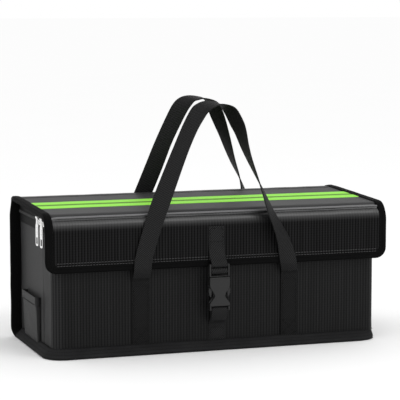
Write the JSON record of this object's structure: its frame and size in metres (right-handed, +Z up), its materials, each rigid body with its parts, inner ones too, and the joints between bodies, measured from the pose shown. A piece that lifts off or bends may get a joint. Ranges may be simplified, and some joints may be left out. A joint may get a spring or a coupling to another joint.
{
  "type": "lipo safe bag",
  "caption": "Stiffened fire-resistant battery storage bag with a zipped lid, front flap, side-release buckle and two carrying loops.",
  "frame": {"origin": "centre of the base's underside", "axes": "+X along the bag to the right as seen from the front, -Y towards the flap and buckle, +Z up"},
  "size_m": [0.496, 0.215, 0.3459],
  "materials": {
    "ribbed_fabric": "fine vertical ribs, coated, black",
    "smooth_fabric": "tight plain weave, dark grey",
    "coated_fabric": "coated, dark grey, slight sheen",
    "piping": "raised corded seam, grey",
    "lime_stripe": "bright lime coated tape",
    "stiffener_board": "hidden stiffening board",
    "glass_fibre": "woven silver-grey glass fibre",
    "binding_tape": "woven herringbone edge tape, black",
    "zip_tape": "woven tape, black",
    "zip_teeth": "nylon coil, black",
    "webbing": "woven webbing, black",
    "buckle_plastic": "moulded, satin black",
    "zip_metal": "plated silver, polished"
  },
  "bodies": {
    "box": {"wrap_skin": "ribbed_fabric", "base_board": "stiffener_board", "back_board": "stiffener_board", "front_panel": "ribbed_fabric", "left_end_panel": "smooth_fabric", "right_end_panel": "smooth_fabric", "front_board": "stiffener_board", "left_end_board": "stiffener_board", "right_end_board": "stiffener_board", "tub_liner": "glass_fibre", "rim_binding": "binding_tape", "left_rear_flange": "binding_tape", "right_rear_flange": "binding_tape", "hinge_fold": "coated_fabric", "zip_lower_tape": "zip_tape", "zip_lower_teeth": "zip_teeth", "end_pocket": "smooth_fabric", "pocket_hem": "smooth_fabric", "front_left_strap": "webbing", "front_right_strap": "webbing", "rear_left_strap": "webbing", "rear_right_strap": "webbing", "buckle_strap_lower": "webbing"},
    "lid": {"top_skin": "coated_fabric", "flap_skin": "ribbed_fabric", "lid_board": "stiffener_board", "flap_board": "stiffener_board", "lid_liner": "glass_fibre", "left_lid_binding": "binding_tape", "right_lid_binding": "binding_tape", "flap_binding": "binding_tape", "rear_stripe": "lime_stripe", "front_stripe": "lime_stripe", "ridge_piping": "piping", "zip_upper_tape": "zip_tape", "zip_upper_teeth": "zip_teeth", "buckle_strap_upper": "webbing"},
    "front_handle": {"front_handle": "webbing"},
    "rear_handle": {"rear_handle": "webbing"},
    "buckle_male": {"buckle_male": "buckle_plastic"},
    "buckle_left_arm": {"buckle_left_arm": "buckle_plastic"},
    "buckle_right_arm": {"buckle_right_arm": "buckle_plastic"},
    "buckle_female": {"buckle_female": "buckle_plastic"},
    "rear_slider": {"rear_slider": "zip_metal"},
    "front_slider": {"front_slider": "zip_metal"},
    "rear_pull": {"rear_pull": "zip_metal"},
    "front_pull": {"front_pull": "zip_metal"}
  },
  "joints": [
    {"name": "lid_hinge", "type": "hinge", "parent": "box", "child": "lid", "pos_m": [0, 0.0976, 0.1986], "axis": [-1, 0, 0], "range_deg": [0, 110]},
    {"name": "front_handle_swing", "type": "hinge", "parent": "box", "child": "front_handle", "pos_m": [-0.0045, -0.0917, 0.1032], "axis": [1, 0, 0], "range_deg": [0, 121]},
    {"name": "rear_handle_swing", "type": "hinge", "parent": "box", "child": "rear_handle", "pos_m": [0.01, 0.103, 0.1032], "axis": [-1, 0, 0], "range_deg": [0, 121]},
    {"name": "buckle_male_hinge", "type": "hinge", "parent": "lid", "child": "buckle_male", "pos_m": [-0.0055, -0.1066, 0.1121], "axis": [1, 0, 0], "range_deg": [0, 36.3]},
    {"name": "buckle_female_hinge", "type": "hinge", "parent": "box", "child": "buckle_female", "pos_m": [-0.0055, -0.1066, 0.0597], "axis": [1, 0, 0], "range_deg": [0, 154]},
    {"name": "left_arm_squeeze", "type": "hinge", "parent": "buckle_male", "child": "buckle_left_arm", "pos_m": [-0.0156, -0.1066, 0.1034], "axis": [0, -1, 0], "range_deg": [0, 6], "stiffness_Nm_per_rad": 0.6},
    {"name": "right_arm_squeeze", "type": "hinge", "parent": "buckle_male", "child": "buckle_right_arm", "pos_m": [0.0046, -0.1066, 0.1034], "axis": [0, 1, 0], "range_deg": [0, 6], "stiffness_Nm_per_rad": 0.6},
    {"name": "rear_slider_slide", "type": "slide", "parent": "box", "child": "rear_slider", "axis": [0, 1, 0], "range_m": [0, 0.12]},
    {"name": "front_slider_slide", "type": "slide", "parent": "box", "child": "front_slider", "axis": [0, -1, 0], "range_m": [0, 0.011]},
    {"name": "rear_pull_lift", "type": "hinge", "parent": "rear_slider", "child": "rear_pull", "pos_m": [-0.2439, -0.038, 0.1872], "axis": [0, 1, 0], "range_deg": [0, 100]},
    {"name": "front_pull_lift", "type": "hinge", "parent": "front_slider", "child": "front_pull", "pos_m": [-0.2439, -0.062, 0.1872], "axis": [0, 1, 0], "range_deg": [0, 100]}
  ],
  "couplings": [
    {"joint": "front_handle_swing", "follows": "lid_hinge", "ratio": 1.1},
    {"joint": "rear_handle_swing", "follows": "lid_hinge", "ratio": 1.1},
    {"joint": "buckle_male_hinge", "follows": "lid_hinge", "ratio": 0.33},
    {"joint": "buckle_female_hinge", "follows": "lid_hinge", "ratio": 1.4}
  ]
}
